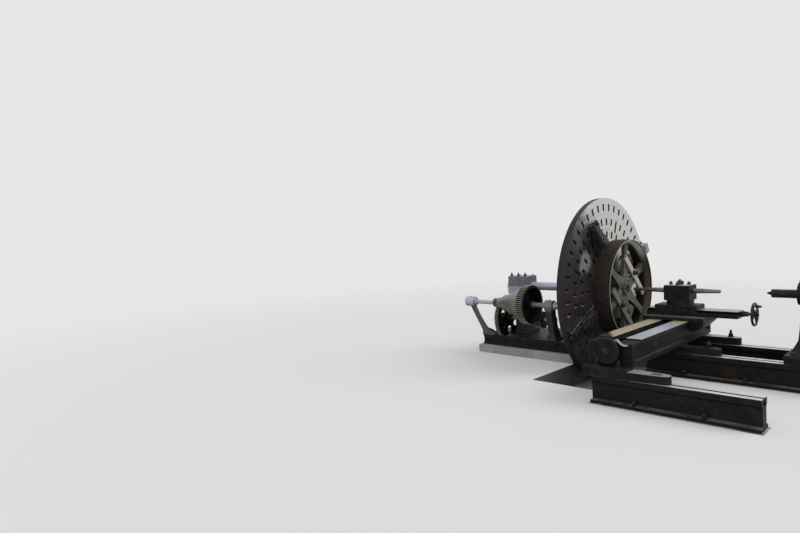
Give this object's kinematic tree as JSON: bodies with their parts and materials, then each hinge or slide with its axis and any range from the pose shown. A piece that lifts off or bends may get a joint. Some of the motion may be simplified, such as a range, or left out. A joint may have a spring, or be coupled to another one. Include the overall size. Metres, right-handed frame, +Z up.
{
  "type": "pit facing lathe",
  "caption": "Old pit facing lathe with a slotted faceplate, a clamped pulley wheel, back-geared headstock, cross slide rest and tailstock.",
  "frame": {"origin": "under the centre of the faceplate's working face, on the underside of the foundation", "axes": "+X along the spindle from headstock to tailstock, +Y away from the operator's side, +Z up"},
  "size_m": [4.94, 2.92, 2.31],
  "materials": {
    "stone": "rough dressed stone, dusty and oil stained",
    "paint_blue": "old blue-grey machine paint, dusty on top",
    "iron_black": "black paint and oil over rough castings",
    "iron_worn": "worn dark iron with bright worn edges",
    "plate_iron": "turned grey iron, dull, with rust and oil towards the middle",
    "wheel_iron": "brown-black casting with a rusty rim",
    "steel_worn": "worn bright steel with brown stains"
  },
  "bodies": {
    "bed": {"headstock_foundation": "stone", "bed_foundation": "stone", "front_foundation": "stone", "headstock_base": "iron_black", "rear_pedestal": "paint_blue", "front_pedestal": "iron_black", "bearing_caps": "iron_worn", "end_bracket": "paint_blue", "drive_shaft_bearing": "iron_black", "lay_shaft_bearings": "iron_black", "front_rail": "iron_worn", "middle_rail": "iron_worn", "rear_rail": "iron_worn", "cross_bed": "iron_worn", "holding_down_bolts": "iron_worn"},
    "spindle": {"main_spindle": "steel_worn", "faceplate": "plate_iron", "ring_gear": "iron_worn", "work_wheel_rim": "wheel_iron", "work_wheel_arms": "wheel_iron", "jaw_slides": "iron_black", "stepped_jaws": "iron_worn", "clamp_bars": "steel_worn", "clamp_bolts": "iron_worn"},
    "drive": {"drive_shaft": "steel_worn", "bull_gear": "iron_black", "drive_pinion": "iron_worn"},
    "cone": {"cone_pulley": "steel_worn", "cone_pinion": "iron_worn"},
    "lay": {"lay_shaft": "steel_worn", "lay_gear": "iron_black", "lay_pinion": "iron_black"},
    "feed_screw": {"cross_feed_screw": "steel_worn", "ratchet_disc": "iron_black"},
    "lever": {"feed_lever": "iron_worn"},
    "saddle": {"saddle": "iron_black", "long_slide_bed": "iron_worn"},
    "slide_handwheel": {"handwheel": "steel_worn"},
    "top_slide": {"top_slide": "iron_black", "tool_block": "iron_worn", "tool_clamps": "steel_worn", "boring_bar": "steel_worn"},
    "tailstock": {"tailstock": "iron_black"},
    "barrel": {"tailstock_barrel": "steel_worn"},
    "tail_handwheel": {"tailstock_handwheel": "iron_worn"}
  },
  "joints": [
    {"name": "spindle_turn", "type": "hinge", "parent": "bed", "child": "spindle", "pos_m": [-0.5, 0, 1.21], "axis": [1, 0, 0], "continuous": true},
    {"name": "drive_turn", "type": "hinge", "parent": "bed", "child": "drive", "pos_m": [-0.9, -0.45221, 1.02], "axis": [1, 0, 0], "continuous": true},
    {"name": "lay_turn", "type": "hinge", "parent": "bed", "child": "lay", "pos_m": [-1, -0.19105, 0.79], "axis": [1, 0, 0], "continuous": true},
    {"name": "cone_turn", "type": "hinge", "parent": "bed", "child": "cone", "pos_m": [-1.1, -0.45221, 1.02], "axis": [1, 0, 0], "continuous": true},
    {"name": "feed_screw_turn", "type": "hinge", "parent": "bed", "child": "feed_screw", "pos_m": [0.78, -1.6, 0.82652], "axis": [0, 1, 0], "continuous": true},
    {"name": "lever_swing", "type": "hinge", "parent": "bed", "child": "lever", "pos_m": [0.78, -1.66, 0.82652], "axis": [0, 1, 0], "range_deg": [-30, 30]},
    {"name": "cross_slide", "type": "slide", "parent": "bed", "child": "saddle", "axis": [0, 1, 0], "range_m": [-1.1, 0.18]},
    {"name": "slide_handwheel_turn", "type": "hinge", "parent": "saddle", "child": "slide_handwheel", "pos_m": [1.553, 0, 0.9843], "axis": [1, 0, 0], "continuous": true},
    {"name": "top_slide_travel", "type": "slide", "parent": "saddle", "child": "top_slide", "axis": [1, 0, 0], "range_m": [0, 0.25]},
    {"name": "tailstock_slide", "type": "slide", "parent": "bed", "child": "tailstock", "axis": [1, 0, 0], "range_m": [0, 0.45]},
    {"name": "barrel_slide", "type": "slide", "parent": "tailstock", "child": "barrel", "axis": [1, 0, 0], "range_m": [-0.06, 0.1]},
    {"name": "tail_handwheel_turn", "type": "hinge", "parent": "tailstock", "child": "tail_handwheel", "pos_m": [2.423, 0, 1.21], "axis": [1, 0, 0], "continuous": true}
  ],
  "couplings": [
    {"joint": "drive_turn", "follows": "spindle_turn", "ratio": 7.8125},
    {"joint": "lay_turn", "follows": "spindle_turn", "ratio": -18.329},
    {"joint": "cone_turn", "follows": "spindle_turn", "ratio": 104.34}
  ]
}
